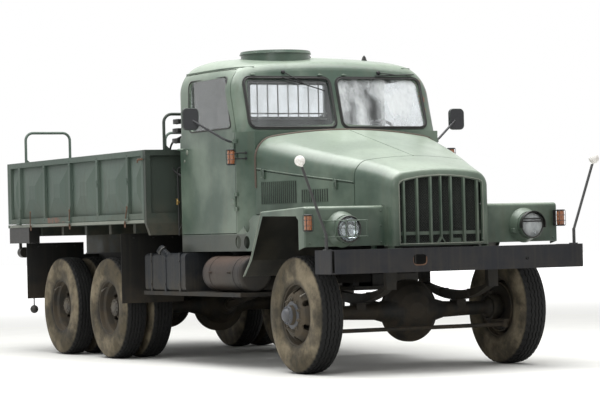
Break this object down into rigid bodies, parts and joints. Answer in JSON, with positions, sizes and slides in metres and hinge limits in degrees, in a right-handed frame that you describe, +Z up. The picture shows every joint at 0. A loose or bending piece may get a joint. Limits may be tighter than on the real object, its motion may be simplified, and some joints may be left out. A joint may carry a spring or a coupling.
{
  "type": "three-axle military cargo truck",
  "caption": "Bonneted all-wheel-drive cargo truck with a steel drop-side bed, two-door cab, twin rear wheels and opening panels.",
  "frame": {"origin": "on the ground under the middle of the vehicle's length, on its centreline", "axes": "+X forward towards the bumper, +Y to the vehicle's left, +Z up"},
  "size_m": [7.2, 2.8396, 2.7853],
  "materials": {
    "tyre": "black rubber, dusted with dried mud",
    "wheel_paint": "worn grey-green paint under brown dust",
    "chassis_black": "black chassis paint, dusty",
    "bumper_slate": "faded slate-black paint",
    "pole_black": "dark poles with white balls",
    "tank_grey": "blue-grey paint",
    "tank_brown": "dark paint with rust-brown dust",
    "lamp_black": "black",
    "body_green": "satin olive grey-green military paint",
    "bed_green": "satin olive grey-green paint with primer patches",
    "window_glass": "clear",
    "bar_white": "off-white paint",
    "seat_cover": "dark artificial leather",
    "wheel_bakelite": "black",
    "headlamp_body": "green bowl with clear glass",
    "amber_lens": "amber lens"
  },
  "bodies": {
    "root": {"frame_rails": "chassis_black", "rear_axles": "chassis_black", "front_axle": "chassis_black", "leaf_springs": "chassis_black", "driveline": "chassis_black", "engine_block": "chassis_black", "radiator": "chassis_black", "tank_shelves": "chassis_black", "mud_guards": "chassis_black", "bumper": "bumper_slate", "marker_poles": "pole_black", "fuel_tank": "tank_grey", "air_tank": "tank_brown", "tail_lamps": "lamp_black", "cab_shell": "body_green", "hood_sides": "body_green", "nose_shell": "body_green", "grille": "body_green", "fenders": "body_green", "bed_floor": "bed_green", "headboard": "bed_green", "cab_glass": "window_glass", "window_bars": "bar_white", "seats": "seat_cover", "headlamps": "headlamp_body", "indicator_lamps": "amber_lens"},
    "steer_left": {"knuckle_left": "chassis_black"},
    "wheel_front_left": {"tyre_front_left": "tyre", "wheel_front_left": "wheel_paint"},
    "steer_right": {"knuckle_right": "chassis_black"},
    "wheel_front_right": {"tyre_front_right": "tyre", "wheel_front_right": "wheel_paint"},
    "tie_rod": {"tie_rod": "chassis_black"},
    "wheels_mid_left": {"tyres_mid_left": "tyre", "wheels_mid_left": "wheel_paint"},
    "wheels_mid_right": {"tyres_mid_right": "tyre", "wheels_mid_right": "wheel_paint"},
    "wheels_rear_left": {"tyres_rear_left": "tyre", "wheels_rear_left": "wheel_paint"},
    "wheels_rear_right": {"tyres_rear_right": "tyre", "wheels_rear_right": "wheel_paint"},
    "door_left": {"door_left": "body_green", "door_glass_left": "window_glass"},
    "hood_left": {"hood_left": "body_green"},
    "drop_side_left": {"drop_side_left": "bed_green"},
    "door_right": {"door_right": "body_green", "door_glass_right": "window_glass"},
    "hood_right": {"hood_right": "body_green"},
    "drop_side_right": {"drop_side_right": "bed_green"},
    "tailgate": {"tailgate": "bed_green"},
    "roof_hatch": {"roof_hatch": "body_green"},
    "steering_wheel": {"steering_wheel": "wheel_bakelite"}
  },
  "joints": [
    {"name": "steer_left", "type": "hinge", "parent": "root", "child": "steer_left", "pos_m": [2.7, 0.8, 0.485], "axis": [0, 0, 1], "range_deg": [-30, 30]},
    {"name": "spin_front_left", "type": "hinge", "parent": "steer_left", "child": "wheel_front_left", "pos_m": [2.7, 0.9625, 0.485], "axis": [0, 1, 0], "continuous": true},
    {"name": "steer_right", "type": "hinge", "parent": "root", "child": "steer_right", "pos_m": [2.7, -0.8, 0.485], "axis": [0, 0, 1], "range_deg": [-30, 30]},
    {"name": "spin_front_right", "type": "hinge", "parent": "steer_right", "child": "wheel_front_right", "pos_m": [2.7, -0.9625, 0.485], "axis": [0, 1, 0], "continuous": true},
    {"name": "tie_rod_swing", "type": "hinge", "parent": "steer_right", "child": "tie_rod", "pos_m": [2.93, -0.8, 0.345], "axis": [0, 0, 1], "range_deg": [-30, 30]},
    {"name": "spin_mid_left", "type": "hinge", "parent": "root", "child": "wheels_mid_left", "pos_m": [-1.1, 0.9235, 0.485], "axis": [0, 1, 0], "continuous": true},
    {"name": "spin_mid_right", "type": "hinge", "parent": "root", "child": "wheels_mid_right", "pos_m": [-1.1, -0.9235, 0.485], "axis": [0, 1, 0], "continuous": true},
    {"name": "spin_rear_left", "type": "hinge", "parent": "root", "child": "wheels_rear_left", "pos_m": [-2.35, 0.9235, 0.485], "axis": [0, 1, 0], "continuous": true},
    {"name": "spin_rear_right", "type": "hinge", "parent": "root", "child": "wheels_rear_right", "pos_m": [-2.35, -0.9235, 0.485], "axis": [0, 1, 0], "continuous": true},
    {"name": "door_left", "type": "hinge", "parent": "root", "child": "door_left", "pos_m": [1.483, 1.0103, 1.67], "axis": [0, 0, -1], "range_deg": [0, 65]},
    {"name": "hood_left", "type": "hinge", "parent": "root", "child": "hood_left", "pos_m": [1.7, 0, 2.052], "axis": [0.9726, 0, -0.2326], "range_deg": [0, 60]},
    {"name": "drop_left", "type": "hinge", "parent": "root", "child": "drop_side_left", "pos_m": [-1.75, 1.264, 1.318], "axis": [-1, 0, 0], "range_deg": [0, 180]},
    {"name": "door_right", "type": "hinge", "parent": "root", "child": "door_right", "pos_m": [1.483, -1.0103, 1.67], "axis": [0, 0, 1], "range_deg": [0, 65]},
    {"name": "hood_right", "type": "hinge", "parent": "root", "child": "hood_right", "pos_m": [1.7, 0, 2.052], "axis": [-0.9726, 0, 0.2326], "range_deg": [0, 60]},
    {"name": "drop_right", "type": "hinge", "parent": "root", "child": "drop_side_right", "pos_m": [-1.75, -1.264, 1.318], "axis": [1, 0, 0], "range_deg": [0, 180]},
    {"name": "tailgate_drop", "type": "hinge", "parent": "root", "child": "tailgate", "pos_m": [-3.589, 0, 1.318], "axis": [0, -1, 0], "range_deg": [0, 180]},
    {"name": "hatch_lift", "type": "hinge", "parent": "root", "child": "roof_hatch", "pos_m": [0.616, -0.325, 2.7683], "axis": [0, -1, 0], "range_deg": [0, 100]},
    {"name": "steering_wheel_turn", "type": "hinge", "parent": "root", "child": "steering_wheel", "pos_m": [1.19, 0.48, 2.03], "axis": [-0.5, 0, 0.866], "range_deg": [-540, 540]}
  ],
  "couplings": [
    {"joint": "steer_right", "follows": "steer_left", "ratio": 1},
    {"joint": "tie_rod_swing", "follows": "steer_left", "ratio": -1}
  ]
}
